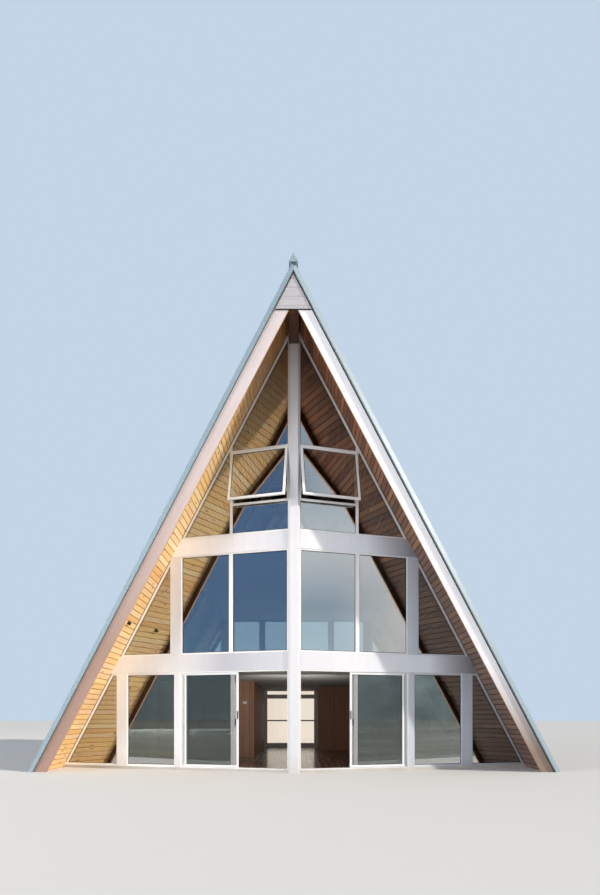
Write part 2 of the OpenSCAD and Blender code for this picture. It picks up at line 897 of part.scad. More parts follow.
left_roof();
right_roof();
left_ceiling();
right_ceiling();
ridge_beam();
ridge_cap();
left_rake_trims();
right_rake_trims();
left_rake_boards();
right_rake_boards();
peak_panels();
rafters();
collar_beams();
ground_floor();
second_floor();
third_floor();
prow_post();
sills();
lower_bands();
upper_bands();
wall_posts();
left_ground_frames();
right_ground_frames();
left_second_frames();
right_second_frames();
left_third_frame();
right_third_frame();
ground_glass();
second_glass();
third_glass();
left_awning();
right_awning();
awning_glass();
left_door();
right_door();
left_door_glass();
right_door_glass();
left_door_handle();
right_door_handle();
left_screen();
right_screen();
back_bands();
back_posts();
back_frames();
back_glass();
left_partition();
left_passage_wall();
right_partition();
right_passage_wall();
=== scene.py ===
# The looks of an A-frame cabin with a glazed prow front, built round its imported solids.
import math

import bmesh
import bpy
import numpy as np
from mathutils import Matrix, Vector


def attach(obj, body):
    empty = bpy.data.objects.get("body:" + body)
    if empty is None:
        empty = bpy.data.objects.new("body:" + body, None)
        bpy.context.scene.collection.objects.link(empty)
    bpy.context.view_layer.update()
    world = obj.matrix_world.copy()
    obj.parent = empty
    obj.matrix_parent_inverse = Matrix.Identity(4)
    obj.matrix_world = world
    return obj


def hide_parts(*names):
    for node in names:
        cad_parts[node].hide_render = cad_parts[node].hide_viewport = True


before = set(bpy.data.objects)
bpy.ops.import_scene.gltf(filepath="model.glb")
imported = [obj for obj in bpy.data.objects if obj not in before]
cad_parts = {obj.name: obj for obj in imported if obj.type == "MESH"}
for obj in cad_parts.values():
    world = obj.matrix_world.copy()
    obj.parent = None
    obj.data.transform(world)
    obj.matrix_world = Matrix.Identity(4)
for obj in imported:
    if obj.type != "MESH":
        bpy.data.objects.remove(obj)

scene = bpy.context.scene
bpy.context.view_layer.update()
scene.view_settings.view_transform = "Standard"


# Camera: a wide lens at eye height in front of the prow, a little to the right of its
# tip, raised by shift alone so that the posts stay upright.
tip_y = -4.880
stand_off = 12.0
eye_height = 1.139
lens = bpy.data.cameras.new("camera")
lens.lens = 24
lens.sensor_width = 36
lens.shift_y = 0.3007
camera = bpy.data.objects.new("camera", lens)
camera.location = (0.12, tip_y - stand_off, eye_height)
camera.rotation_euler = (math.radians(90), 0, 0)
scene.collection.objects.link(camera)
scene.camera = camera


# Studio: a pale matt floor and backdrop, a broad lamp at the front right, a soft one far off
# at the left, a low spot on the left soffit and a small lamp behind the doorway. Cards that
# only the glass mirrors are blue on the left, pale on the right and dark low down.
def tint(code):
    """An sRGB hex colour as the linear colour that Blender works in."""
    parts = [int(code[i:i + 2], 16) / 255 for i in (1, 3, 5)]
    parts = [c / 12.92 if c <= 0.04045 else ((c + 0.055) / 1.055) ** 2.4 for c in parts]
    return (*parts, 1.0)


def fill(tree, node, plugs):
    """Fills a node's inputs with values, or links them to other nodes."""
    for name, value in plugs.items():
        socket = node.inputs[name] if isinstance(name, int) else next(
            s for s in node.inputs if s.name == name and s.enabled)
        if isinstance(value, bpy.types.Node):
            value = next(s for s in value.outputs if s.enabled)
        if isinstance(value, bpy.types.NodeSocket):
            tree.links.new(value, socket)
        else:
            socket.default_value = value


def add(tree, kind, plugs=None, stops=(), **settings):
    """Adds a node: sets its properties and its colour stops, then fills its inputs."""
    made = tree.nodes.new(kind)
    for name, value in settings.items():
        setattr(made, name, value)
    if stops:
        marks = made.color_ramp.elements
        while len(marks) < len(stops):
            marks.new(0.5)
        for mark, (position, code) in zip(marks, stops):
            mark.position = position
            mark.color = tint(code)
    fill(tree, made, plugs or {})
    return made


def new_finish(name):
    """A new material, its node tree and its surface shader."""
    made = bpy.data.materials.new(name)
    made.use_nodes = True
    return made, made.node_tree, made.node_tree.nodes["Principled BSDF"]


def flat_mesh(name, corners, faces, finish):
    """A mesh object from its corners and faces, with one finish."""
    mesh = bpy.data.meshes.new(name)
    mesh.from_pydata(corners, [], faces)
    mesh.materials.append(finish)
    made = bpy.data.objects.new(name, mesh)
    scene.collection.objects.link(made)
    return made


# A matt floor, so that it shows the shadow and no gleam.
floor_finish, tree, shader = new_finish("studio_floor_matt")
fill(tree, shader, {"Base Color": tint("#D9D7D3"), "Roughness": 0.9})
floor_reach = 150
studio_floor = flat_mesh("studio_floor", [
    (-floor_reach, -floor_reach, 0), (floor_reach, -floor_reach, 0), (floor_reach, floor_reach, 0),
    (-floor_reach, floor_reach, 0)], [(0, 1, 2, 3)], floor_finish)

world = bpy.data.worlds.new("studio")
scene.world = world
world.use_nodes = True
tree = world.node_tree
tree.nodes.clear()
path = add(tree, "ShaderNodeLightPath")
seen = path.outputs["Is Camera Ray"]
for ray in ("Is Glossy Ray", "Is Transmission Ray"):
    seen = add(tree, "ShaderNodeMath", {0: seen, 1: path.outputs[ray]}, operation="MAXIMUM")
faint_fill = add(tree, "ShaderNodeBackground", {"Color": tint("#E6F0FF"), "Strength": 0.46})
backdrop = add(tree, "ShaderNodeBackground", {"Color": tint("#C3D5E6"), "Strength": 1.0})
shown = add(tree, "ShaderNodeMixShader", {0: seen, 1: faint_fill, 2: backdrop})
add(tree, "ShaderNodeOutputWorld", {"Surface": shown})


def hang_lamp(name, kind, energy, colour, place, comes_from, **settings):
    """A lamp whose light comes from a direction. All but a sun stay out of glass and metal."""
    lamp = bpy.data.lights.new(name, kind)
    lamp.energy = energy
    lamp.color = colour
    for setting, value in settings.items():
        setattr(lamp, setting, value)
    made = bpy.data.objects.new(name, lamp)
    made.location = place
    made.rotation_euler = Vector(comes_from).to_track_quat("Z", "Y").to_euler()
    if kind != "SUN":
        made.visible_glossy = made.visible_camera = made.visible_transmission = False
    scene.collection.objects.link(made)


warm_white = (1.0, 0.97, 0.94)
hang_lamp("broad_lamp", "SUN", 3.3, (1.0, 0.94, 0.86), (0, 0, 0), (0.775, -0.39, 0.5),
          angle=math.radians(2.5))
hang_lamp("soft_lamp", "AREA", 14450, (0.95, 0.97, 1.0), (-36, tip_y - 22, 10), (-36, -22, 7),
          size=24)
hang_lamp("low_lamp", "SPOT", 4200, warm_white, (10, tip_y - 15, 2), (13.8, -15.4, -1.6),
          spot_size=math.radians(26), spot_blend=0.9, shadow_soft_size=1.5)
hang_lamp("room_lamp", "AREA", 17, warm_white, (0, tip_y + 1.7, 1.1), (0, -1, -0.25), size=1.6)


def stand_card(name, ends, low, high, finish, hidden_from):
    """An upright glowing card that lights nothing and is hidden from one more kind of ray."""
    (x0, y0), (x1, y1) = ends
    card = flat_mesh(name, [(x0, y0, low), (x1, y1, low), (x1, y1, high), (x0, y0, high)],
                     [(0, 1, 2, 3)], finish)
    card.visible_camera = card.visible_diffuse = card.visible_shadow = False
    setattr(card, "visible_" + hidden_from, False)


# Each line of cards: its ends in plan from the prow's tip, its foot and top, how fine and how
# strong its blotches are, and how white it turns towards its right end. Each card: its side
# and its colours with their heights.
card_lines = {
    "tall": (((2.5, -57), (60, -13)), 6.3, 60, (0.05, 0.05, 0.12), 0.10, 0.9),
    "far": (((2.5, -57), (60, -13)), 0.0, 6.3, (0.4, 0.4, 0.7), 0.45, 0.0),
    "near": (((1.0, -1.7), (10, -1.7)), 0.0, 1.0, (0.35, 0.35, 8.0), 0.40, 0.0)}
white_from_x, white_full_x = 27, 32
for side, hand, line, levels in (
        (-1, "left", "tall", ((7, "#45719F"), (10, "#2F5F95"), (16, "#33629C"), (32, "#2F5690"))),
        (1, "right", "tall", ((7, "#C6D9E4"), (12, "#B2C8DA"), (17, "#F6FAFF"), (30, "#AEC6DA"))),
        (-1, "left", "far", ((2, "#2E3531"), (6, "#3B4846"))),
        (1, "right", "far", ((2, "#68726D"), (6, "#8F9C9C"))),
        (-1, "left", "near", ((0, "#716C55"), (1, "#484C40"))),
        (1, "right", "near", ((0, "#8A8A80"), (1, "#70766F")))):
    ends, low, high, fineness, spread, whiteness = card_lines[line]
    card_finish, tree, shader = new_finish(hand + "_" + line + "_card")
    tree.nodes.clear()
    place = add(tree, "ShaderNodeTexCoord").outputs["Object"]
    split = add(tree, "ShaderNodeSeparateXYZ", {"Vector": place})
    first, last = levels[0][0], levels[-1][0]
    share = add(tree, "ShaderNodeMapRange", {"Value": split.outputs["Z"], "From Min": first,
                                             "From Max": last})
    colour = add(tree, "ShaderNodeValToRGB", {"Fac": share},
                 stops=[((z - first) / (last - first), code) for z, code in levels])
    share = add(tree, "ShaderNodeMapRange", {"Value": split.outputs["X"], "From Min": white_from_x,
                                             "From Max": white_full_x, "To Max": whiteness})
    colour = add(tree, "ShaderNodeMix", {"Factor": share, "A": colour, "B": tint("#FFF8F2")},
                 data_type="RGBA")
    blotch = add(tree, "ShaderNodeMapping", {"Vector": place, "Scale": fineness})
    blotch = add(tree, "ShaderNodeTexNoise", {"Vector": blotch, "Scale": 1.0, "Detail": 4.0})
    blotch = add(tree, "ShaderNodeMapRange", {"Value": blotch, "From Min": 0.32, "From Max": 0.68,
                                              "To Min": 1.0 - spread, "To Max": 1.0 + spread})
    colour = add(tree, "ShaderNodeMix", {"Factor": 1.0, "A": colour, "B": blotch}, data_type="RGBA",
                 blend_type="MULTIPLY")
    glow = add(tree, "ShaderNodeEmission", {"Color": colour, "Strength": 1.0})
    add(tree, "ShaderNodeOutputMaterial", {"Surface": glow})
    stand_card(hand + "_" + line + "_card", [(side * x, tip_y + y) for x, y in ends], low, high,
               card_finish, "transmission")

# One card behind the back wall, seen only through the glass, so that the rooms end in warm light.
card_finish, tree, shader = new_finish("warm_card")
tree.nodes.clear()
glow = add(tree, "ShaderNodeEmission", {"Color": tint("#FBE8D8"), "Strength": 1.0})
add(tree, "ShaderNodeOutputMaterial", {"Surface": glow})
warm_card_y = 7.0
stand_card("warm_card", [(-3, warm_card_y), (3, warm_card_y)], 0.02, 3, card_finish, "glossy")


# Floors: three plates that follow the prow in plan. Each has sealed boards on top, laid
# front to back, a smooth painted ceiling below, and is cut round the rafters.
def lay_grain(mesh, along):
    """Unrolls every face in metres, with u along the grain. A board's tone slides its pattern."""
    slide_along, slide_across = 37.7, 0.61
    count = len(mesh.polygons)
    normals = np.empty(count * 3)
    mesh.polygons.foreach_get("normal", normals)
    normals = normals.reshape(-1, 3)
    starts, totals = np.empty(count, int), np.empty(count, int)
    mesh.polygons.foreach_get("loop_start", starts)
    mesh.polygons.foreach_get("loop_total", totals)
    corners = np.empty(len(mesh.vertices) * 3)
    mesh.vertices.foreach_get("co", corners)
    corners = corners.reshape(-1, 3)
    corner_of = np.empty(len(mesh.loops), int)
    mesh.loops.foreach_get("vertex_index", corner_of)
    owner = np.repeat(np.arange(count), totals)
    if callable(along):
        middles = np.empty(count * 3)
        mesh.polygons.foreach_get("center", middles)
        along = along(middles.reshape(-1, 3))
    along = np.broadcast_to(np.array(along, float), (count, 3)).copy()
    along /= np.linalg.norm(along, axis=1)[:, None]
    across = np.cross(normals, along)
    end_grain = np.linalg.norm(across, axis=1) < 0.35
    along[end_grain] = np.where(np.abs(normals[end_grain, 2:3]) < 0.9, [[0, 0, 1]], [[1, 0, 0]])
    across[end_grain] = np.cross(normals[end_grain], along[end_grain])
    slide = np.zeros(count)
    tone = mesh.attributes.get("tone")
    if tone:
        values = np.empty(len(tone.data))
        tone.data.foreach_get("value", values)
        slide = (values if tone.domain == "FACE" else values[corner_of[starts]]) * slide_along
    places = corners[corner_of]
    uv = np.stack([(places * along[owner]).sum(1) + slide[owner],
                   (places * across[owner]).sum(1) + slide_across * slide[owner]], 1)
    layer = mesh.uv_layers.new(name="grain")
    layer.data.foreach_set("uv", uv.ravel())


def show(made, body="house", stands_for=()):
    """Puts a finished object on its body, and hides what it stands for."""
    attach(made, body)
    if stands_for:
        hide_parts(*stands_for)
    return made


def whole_faces(node):
    """A copy of a solid's mesh, merged, with its triangles joined into whole faces."""
    bm = bmesh.new()
    bm.from_mesh(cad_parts[node].data)
    bmesh.ops.remove_doubles(bm, verts=bm.verts, dist=1e-5)
    bmesh.ops.dissolve_limit(bm, angle_limit=math.radians(0.5), verts=bm.verts, edges=bm.edges)
    return bm


def settle(made):
    """Turns an object's modifiers into its plain mesh."""
    bpy.context.view_layer.update()
    settled = made.evaluated_get(bpy.context.evaluated_depsgraph_get())
    mesh = bpy.data.meshes.new_from_object(settled)
    made.modifiers.clear()
    made.data = mesh


def eased(node, finish, body="house", edge=0.003, along=None, shape=None):
    """A copy of a solid, reshaped if asked, with its edges eased, that stands for the solid."""
    bm = whole_faces(node)
    if shape:
        shape(bm)
    corners = [v.co.copy() for v in bm.verts]
    bm.verts.index_update()
    faces = [[v.index for v in f.verts] for f in bm.faces]
    bm.free()
    made = flat_mesh(node + "_shown", corners, faces, finish)
    bevel = made.modifiers.new("ease", "BEVEL")
    bevel.width = edge
    bevel.segments = 2
    bevel.limit_method = "ANGLE"
    bevel.angle_limit = math.radians(35)
    settle(made)
    if along is not None:
        lay_grain(made.data, along)
    return show(made, body, [node])


def timber(name, tones, deep, knot=None, streak=0.55, rough=0.55, coat=0.0, seam=0.0,
           seam_colour="#2A2420", fade=None):
    """Wood: each board takes one of the tones, and streaks and fibres carry it towards deep.

    A seam width draws the joints between flush boards. A fade is a colour, the heights at which
    it is full and gone, how it blends, and its strength.
    """
    # Streaks are 40 mm wide and 1.1 m long. Fibres are drawn 3 mm wide and 0.1 m long, coarser
    # than the real ones, so that they show.
    made, tree, shader = new_finish(name)
    place = add(tree, "ShaderNodeUVMap", uv_map="grain")
    broad = add(tree, "ShaderNodeMapping", {"Vector": place, "Scale": (0.9, 24, 1)})
    broad = add(tree, "ShaderNodeTexNoise", {"Vector": broad, "Scale": 1.0, "Detail": 4.0,
                                             "Distortion": 0.4})
    fine = add(tree, "ShaderNodeMapping", {"Vector": place, "Scale": (9, 330, 1)})
    fine = add(tree, "ShaderNodeTexNoise", {"Vector": fine, "Scale": 1.0, "Detail": 3.0})
    if seam:
        split = add(tree, "ShaderNodeSeparateXYZ", {"Vector": place})
        board = add(tree, "ShaderNodeMath", {0: split.outputs["Y"], 1: seam}, operation="DIVIDE")
        board = add(tree, "ShaderNodeMath", {0: board}, operation="FLOOR")
        tone = add(tree, "ShaderNodeTexWhiteNoise", {"W": board}, noise_dimensions="1D")
        tone = tone.outputs["Value"]
    else:
        tone = add(tree, "ShaderNodeAttribute", attribute_name="tone").outputs["Fac"]
    tones = tones if len(tones) > 1 else tones * 2
    ramp = add(tree, "ShaderNodeValToRGB", {"Fac": tone},
               stops=[(number / (len(tones) - 1), code) for number, code in enumerate(tones)])
    weight = add(tree, "ShaderNodeMapRange", {"Value": broad, "From Min": 0.3, "From Max": 0.72})
    weight = add(tree, "ShaderNodeMath", {0: weight, 1: streak, 2: 0.0}, operation="MULTIPLY_ADD")
    weight = add(tree, "ShaderNodeMath", {0: fine, 1: 0.22, 2: weight}, operation="MULTIPLY_ADD")
    weight = add(tree, "ShaderNodeClamp", {"Value": weight})
    colour = add(tree, "ShaderNodeMix", {"Factor": weight, "A": ramp, "B": tint(deep)},
                 data_type="RGBA")
    if knot:
        spots = add(tree, "ShaderNodeMapping", {"Vector": place, "Scale": (1.3, 3.6, 1)})
        spots = add(tree, "ShaderNodeTexVoronoi", {"Vector": spots, "Scale": 1.0},
                    voronoi_dimensions="2D")
        share = add(tree, "ShaderNodeMapRange", {
            "Value": spots.outputs["Distance"], "From Min": 0.03, "From Max": 0.08, "To Min": 0.8,
            "To Max": 0.0})
        colour = add(tree, "ShaderNodeMix", {"Factor": share, "A": colour, "B": tint(knot)},
                     data_type="RGBA")
    if fade:
        tail, full, gone, blend, strength = fade
        height = add(tree, "ShaderNodeTexCoord")
        height = add(tree, "ShaderNodeSeparateXYZ", {"Vector": height.outputs["Object"]})
        share = add(tree, "ShaderNodeMapRange", {
            "Value": height.outputs["Z"], "From Min": full, "From Max": gone, "To Min": strength,
            "To Max": 0.0})
        colour = add(tree, "ShaderNodeMix", {"Factor": share, "A": colour, "B": tint(tail)},
                     data_type="RGBA", blend_type=blend)
    relief = add(tree, "ShaderNodeMath", {0: fine, 1: 0.3, 2: broad}, operation="MULTIPLY_ADD")
    bump = add(tree, "ShaderNodeBump", {"Strength": 0.25, "Distance": 0.0012, "Height": relief})
    if seam:
        gap = add(tree, "ShaderNodeMath", {0: split.outputs["Y"], 1: seam / 2},
                  operation="PINGPONG")
        gap = add(tree, "ShaderNodeMapRange", {"Value": gap, "From Min": 0.0015, "From Max": 0.006})
        colour = add(tree, "ShaderNodeMix", {"Factor": gap, "A": tint(seam_colour), "B": colour},
                     data_type="RGBA")
        bump = add(tree, "ShaderNodeBump", {"Strength": 0.8, "Distance": 0.004, "Height": gap,
                                            "Normal": bump})
    gloss = add(tree, "ShaderNodeMapRange", {"Value": broad, "To Min": rough - 0.08,
                                             "To Max": rough + 0.1})
    fill(tree, shader, {"Base Color": colour, "Roughness": gloss, "Normal": bump,
                        "Coat Weight": coat, "Coat Roughness": 0.12})
    return made


def painted(name, colour, rough=0.4, grit=140.0, mottle=0.05, soil=None, metal=0.0, runs=0.0,
            across=None):
    """Paint or powder coat: a slight mottle, faint rain runs, a fine stipple, and soil low down.

    Where across is given, as places in x and their colours, the colour changes along the wall:
    painted light and shade.
    """
    # The mottle is 0.4 m wide, and rain runs 70 mm. Grit is the stipple's grains in a metre: at
    # 140, it is drawn 7 mm wide, coarser than the real one, so that it shows.
    made, tree, shader = new_finish(name)
    place = add(tree, "ShaderNodeTexCoord").outputs["Object"]
    cloud = add(tree, "ShaderNodeTexNoise", {"Vector": place, "Scale": 2.3, "Detail": 6.0,
                                             "Roughness": 0.6})
    level = add(tree, "ShaderNodeMapRange", {"Value": cloud, "From Min": 0.3, "From Max": 0.7,
                                             "To Min": 1.0 - mottle, "To Max": 1.0})
    base = tint(colour)
    if across:
        first, last = across[0][0], across[-1][0]
        base = add(tree, "ShaderNodeSeparateXYZ", {"Vector": place})
        base = add(tree, "ShaderNodeMapRange", {"Value": base.outputs["X"], "From Min": first,
                                                "From Max": last})
        base = add(tree, "ShaderNodeValToRGB", {"Fac": base},
                   stops=[((x - first) / (last - first), code) for x, code in across])
    colour = add(tree, "ShaderNodeMix", {"Factor": 1.0, "A": base, "B": level}, data_type="RGBA",
                 blend_type="MULTIPLY")
    if runs:
        rain = add(tree, "ShaderNodeMapping", {"Vector": place, "Scale": (14, 14, 0.6)})
        rain = add(tree, "ShaderNodeTexNoise", {"Vector": rain, "Scale": 1.0, "Detail": 3.0})
        rain = add(tree, "ShaderNodeMapRange", {"Value": rain, "From Min": 0.5, "From Max": 0.75,
                                                "To Min": 0.0, "To Max": runs})
        colour = add(tree, "ShaderNodeMix", {"Factor": rain, "A": colour, "B": tint("#8E8A84")},
                     data_type="RGBA")
    if soil:
        height = add(tree, "ShaderNodeSeparateXYZ", {"Vector": place})
        edge = add(tree, "ShaderNodeMath", {0: cloud, 1: 0.3, 2: height.outputs["Z"]},
                   operation="MULTIPLY_ADD")
        share = add(tree, "ShaderNodeMapRange", {"Value": edge, "From Min": 0.12, "From Max": 0.5,
                                                 "To Min": 0.45, "To Max": 0.0})
        colour = add(tree, "ShaderNodeMix", {"Factor": share, "A": colour, "B": tint(soil)},
                     data_type="RGBA")
    stipple = add(tree, "ShaderNodeTexNoise", {"Vector": place, "Scale": grit, "Detail": 2.0})
    bump = add(tree, "ShaderNodeBump", {"Strength": 0.3, "Distance": 0.0004, "Height": stipple})
    gloss = add(tree, "ShaderNodeMapRange", {"Value": cloud, "To Min": rough - 0.06,
                                             "To Max": rough + 0.1})
    fill(tree, shader, {"Base Color": colour, "Roughness": gloss, "Normal": bump,
                        "Metallic": metal})
    return made


# Walnut under a hard clear seal: deep brown, with a gloss that mirrors the doors. Pine under a
# thinner seal: honey-coloured and only half shiny. Matt roller paint: flat, no highlight.
floor_board = 0.14
walnut_boards = timber("sealed_walnut_boards", ["#6E4F3A", "#5E4230", "#7A5A42"], "#3E2A1E",
                       rough=0.26, coat=0.5, seam=floor_board)
pine_boards = timber("sealed_pine_boards", ["#C29A6C", "#B58A5A", "#CDA87C"], "#8E6638",
                     rough=0.38, coat=0.2, seam=floor_board)
ceiling_paint = painted("ceiling_paint_matt", "#CFCFCC", rough=0.7, grit=90)
for node, boards, slot in (("ground_floor", walnut_boards, "floor_board"),
                           ("second_floor", pine_boards, "pine_floor"),
                           ("third_floor", pine_boards, "pine_floor")):
    plate = eased(node, boards, edge=0.002, along=(0, 1, 0))
    plate.data.materials.append(ceiling_paint)
    for face in plate.data.polygons:
        face.material_index = 0 if face.normal.z > 0.5 else 1


# Prow front: a box post at the tip, and on each wing a sill, two deep bands at the floors
# and the posts between the windows. All are boxed in white painted boards, edges eased.
#
# Brushed satin paint: white with a soft sheen, thin grey runs, and soil near the ground. Along
# the walls it carries painted light and shade: brightest and warm on the left, a painted shade
# beside the prow post, and greyer painted shade under the right roof. On the sills it is worn
# nearly matt.
satin = {"rough": 0.38, "mottle": 0.04, "soil": "#B9AFA2", "runs": 0.06}
white = "#D6D5D8"
white_paint = painted("white_satin_paint", white, **satin)
# The across ramps below are painted light and shade along the walls, not a change in the paint.
post_paint_lit_and_shaded = painted("white_satin_posts_painted_light", white, **satin, across=(
    (-4.6, "#FBF8F7"), (-2.9, "#F6F2F1"), (-2.5, "#E2DFE0"), (1.8, "#DCDEE4"), (2.6, "#BAC1CC"),
    (4.6, "#B9C0CB")))
lower_band_paint_lit_and_shaded = painted("white_satin_lower_painted_light", white, **satin, across=(
    (-4.6, "#FBF8F7"), (-2.9, "#F1EDEB"), (-1.5, "#B4B3B9"), (0.0, "#D2D1D6"), (1.3, "#DEDEE1"),
    (2.9, "#E0E5EE"), (3.4, "#B4B6C0"), (3.9, "#868791")))
upper_band_paint_lit_and_shaded = painted("white_satin_upper_painted_light", white, **satin, across=(
    (-2.8, "#FBF8F7"), (-1.3, "#F0EBEC"), (-0.2, "#D2D1D6"), (0.4, "#DEDEE2"), (1.5, "#E0E5EE"),
    (2.5, "#8E919D")))
sill_paint = painted("sill_paint_worn", "#D9D4CE", rough=0.55, mottle=0.12, soil="#8F8578")
for node, paint in (("prow_post", white_paint), ("lower_bands", lower_band_paint_lit_and_shaded),
                    ("upper_bands", upper_band_paint_lit_and_shaded), ("wall_posts", post_paint_lit_and_shaded)):
    eased(node, paint)
eased("sills", sill_paint, edge=0.004)


# Timber frame: two pairs of rafters with their collar beams, and the ridge beam under
# the roof, which runs out past both fronts. Sawn softwood, bolted, stained dark brown.
run, rise = 0.5, 0.866025


def up_slope(middles):
    """The direction up the roof at each of these places. The roof stands at 60 degrees."""
    side = np.where(middles[:, 0] > 0, 1.0, -1.0)
    return np.stack([-run * side, 0 * side, rise + 0 * side], 1)


# Thin stain on sawn wood: almost black in the grain, with no shine of its own. The backs of the
# rake boards take it too, as painted shade.
stain_and_painted_shade = timber("timber_stain_dark_and_painted_shade", ["#5E3C29"], "#33201A", rough=0.5)
eased("rafters", stain_and_painted_shade, edge=0.004, along=up_slope)
eased("collar_beams", stain_and_painted_shade, edge=0.004, along=(1, 0, 0))
eased("ridge_beam", stain_and_painted_shade, edge=0.005, along=(0, 1, 0))


# Roof boards: cedar boards with a small V joint, nailed front to back on each slope. The same
# boards are the ceiling inside and the soffit outside. They are cut to the leaning edges.
half_base = 5.468
edge_foot = 4.6
edge_lean = 0.14303
course_start = -6.1


def courses_tree():
    """Lays the given piece in courses up a roof slope, and cuts the ends to the leaning edges."""
    maths, chance = "ShaderNodeMath", "FunctionNodeRandomValue"
    joint_seed, slip_seed, tone_seed = 7, 11, 23
    tree = bpy.data.node_groups.new("roof_courses", "GeometryNodeTree")
    tree.interface.new_socket("Geometry", in_out="INPUT", socket_type="NodeSocketGeometry")
    for label, kind in (("Side", "Float"), ("Courses", "Int"), ("First", "Float"),
                        ("Pitch", "Float"), ("Per Course", "Int"), ("Length", "Float"),
                        ("Uneven", "Float"), ("Gap", "Float"), ("Slip", "Float"),
                        ("Edge", "Float"), ("Seed", "Int"), ("Finish", "Material")):
        tree.interface.new_socket(label, in_out="INPUT", socket_type="NodeSocket" + kind)
    tree.interface.new_socket("Geometry", in_out="OUTPUT", socket_type="NodeSocketGeometry")
    given = add(tree, "NodeGroupInput").outputs

    # Which course a piece is in, its place there, and how far its course is shifted.
    index = add(tree, "GeometryNodeInputIndex")
    row = add(tree, maths, {0: index, 1: 0.5}, operation="ADD")
    row = add(tree, maths, {0: row, 1: given["Per Course"]}, operation="DIVIDE")
    row = add(tree, maths, {0: row}, operation="FLOOR")
    place = add(tree, maths, {0: row, 1: given["Per Course"]}, operation="MULTIPLY")
    place = add(tree, maths, {0: index, 1: place}, operation="SUBTRACT")
    shift = add(tree, chance, {2: -1.0, 3: 0.0, 7: row, 8: given["Seed"]}, data_type="FLOAT")

    # The joints at its two ends, which it shares with its neighbours.
    joints = []
    for end in (0.0, 1.0):
        order = add(tree, maths, {0: place, 1: end}, operation="ADD")
        number = add(tree, maths, {0: row, 1: 1000.0, 2: order}, operation="MULTIPLY_ADD")
        uneven = add(tree, chance, {2: -0.5, 3: 0.5, 7: number, 8: joint_seed}, data_type="FLOAT")
        uneven = add(tree, maths, {0: uneven.outputs[1], 1: given["Uneven"]}, operation="MULTIPLY")
        along = add(tree, maths, {0: order, 1: shift.outputs[1]}, operation="ADD")
        along = add(tree, maths, {0: along, 1: uneven}, operation="ADD")
        joints.append(add(tree, maths, {0: along, 1: given["Length"], 2: course_start},
                          operation="MULTIPLY_ADD"))

    # Its place on the slope, a little out of line where pieces slip.
    slip = add(tree, chance, {2: -1.0, 3: 1.0, 7: index, 8: slip_seed}, data_type="FLOAT")
    slip = add(tree, maths, {0: slip.outputs[1], 1: given["Slip"]}, operation="MULTIPLY")
    up = add(tree, maths, {0: row, 1: given["Pitch"], 2: given["First"]}, operation="MULTIPLY_ADD")
    up = add(tree, maths, {0: up, 1: slip}, operation="ADD")
    x = add(tree, maths, {0: up, 1: -run, 2: half_base}, operation="MULTIPLY_ADD")
    x = add(tree, maths, {0: x, 1: given["Side"]}, operation="MULTIPLY")
    z = add(tree, maths, {0: up, 1: rise}, operation="MULTIPLY")
    spot = add(tree, "ShaderNodeCombineXYZ", {0: x, 1: joints[0], 2: z})
    total = add(tree, maths, {0: given["Courses"], 1: given["Per Course"]}, operation="MULTIPLY")
    points = add(tree, "GeometryNodePoints", {0: total, 1: spot, 2: 0.01})

    # Pieces that would lie wholly past an edge are left out. The others keep width and tone.
    reach = add(tree, maths, {0: z, 1: edge_lean, 2: edge_foot - 0.02}, operation="MULTIPLY_ADD")
    behind = add(tree, maths, {0: joints[0], 1: reach}, operation="GREATER_THAN")
    before = add(tree, maths, {0: reach, 1: -1.0}, operation="MULTIPLY")
    before = add(tree, maths, {0: joints[1], 1: before}, operation="LESS_THAN")
    past = add(tree, maths, {0: behind, 1: before}, operation="MAXIMUM")
    width = add(tree, maths, {0: joints[1], 1: joints[0]}, operation="SUBTRACT")
    width = add(tree, maths, {0: width, 1: given["Gap"]}, operation="SUBTRACT")
    tone = add(tree, chance, {2: 0.0, 3: 1.0, 7: index, 8: tone_seed}, data_type="FLOAT")
    for label, value in (("width", width), ("tone", tone.outputs[1])):
        points = add(tree, "GeometryNodeStoreNamedAttribute", {0: points, 2: label, 3: value},
                     data_type="FLOAT", domain="POINT")
    points = add(tree, "GeometryNodeDeleteGeometry", {0: points, 1: past}, domain="POINT")

    # The piece on every point, as wide as it should be, then trimmed to the leaning edges.
    size = add(tree, "GeometryNodeInputNamedAttribute", {0: "width"}, data_type="FLOAT")
    size = add(tree, "ShaderNodeCombineXYZ", {0: 1.0, 1: size, 2: 1.0})
    laid = add(tree, "GeometryNodeInstanceOnPoints", {0: points, 2: given["Geometry"], 6: size})
    laid = add(tree, "GeometryNodeRealizeInstances", {0: laid})
    split = add(tree, "ShaderNodeSeparateXYZ", {0: add(tree, "GeometryNodeInputPosition")})
    reach = add(tree, maths, {0: split.outputs[2], 1: edge_lean, 2: edge_foot},
                operation="MULTIPLY_ADD")
    reach = add(tree, maths, {0: reach, 1: given["Edge"]}, operation="SUBTRACT")
    front = add(tree, maths, {0: reach, 1: -1.0}, operation="MULTIPLY")
    cut = add(tree, maths, {0: split.outputs[1], 1: reach}, operation="MINIMUM")
    cut = add(tree, maths, {0: cut, 1: front}, operation="MAXIMUM")
    cut = add(tree, "ShaderNodeCombineXYZ", {0: split.outputs[0], 1: cut, 2: split.outputs[2]})
    laid = add(tree, "GeometryNodeSetPosition", {0: laid, 2: cut})
    laid = add(tree, "GeometryNodeSetMaterial", {0: laid, 2: given["Finish"]})
    add(tree, "NodeGroupOutput", {0: laid})
    return tree


roof_courses = courses_tree()


def step_on(side, up, down):
    """The steps in x and z that go up a roof slope and down into the roof."""
    return side * (-run * up - rise * down), rise * up - run * down


def new_piece(name, bm, finish):
    """An object with this mesh and one finish."""
    mesh = bpy.data.meshes.new(name)
    bm.to_mesh(mesh)
    bm.free()
    mesh.materials.append(finish)
    made = bpy.data.objects.new(name, mesh)
    scene.collection.objects.link(made)
    return made


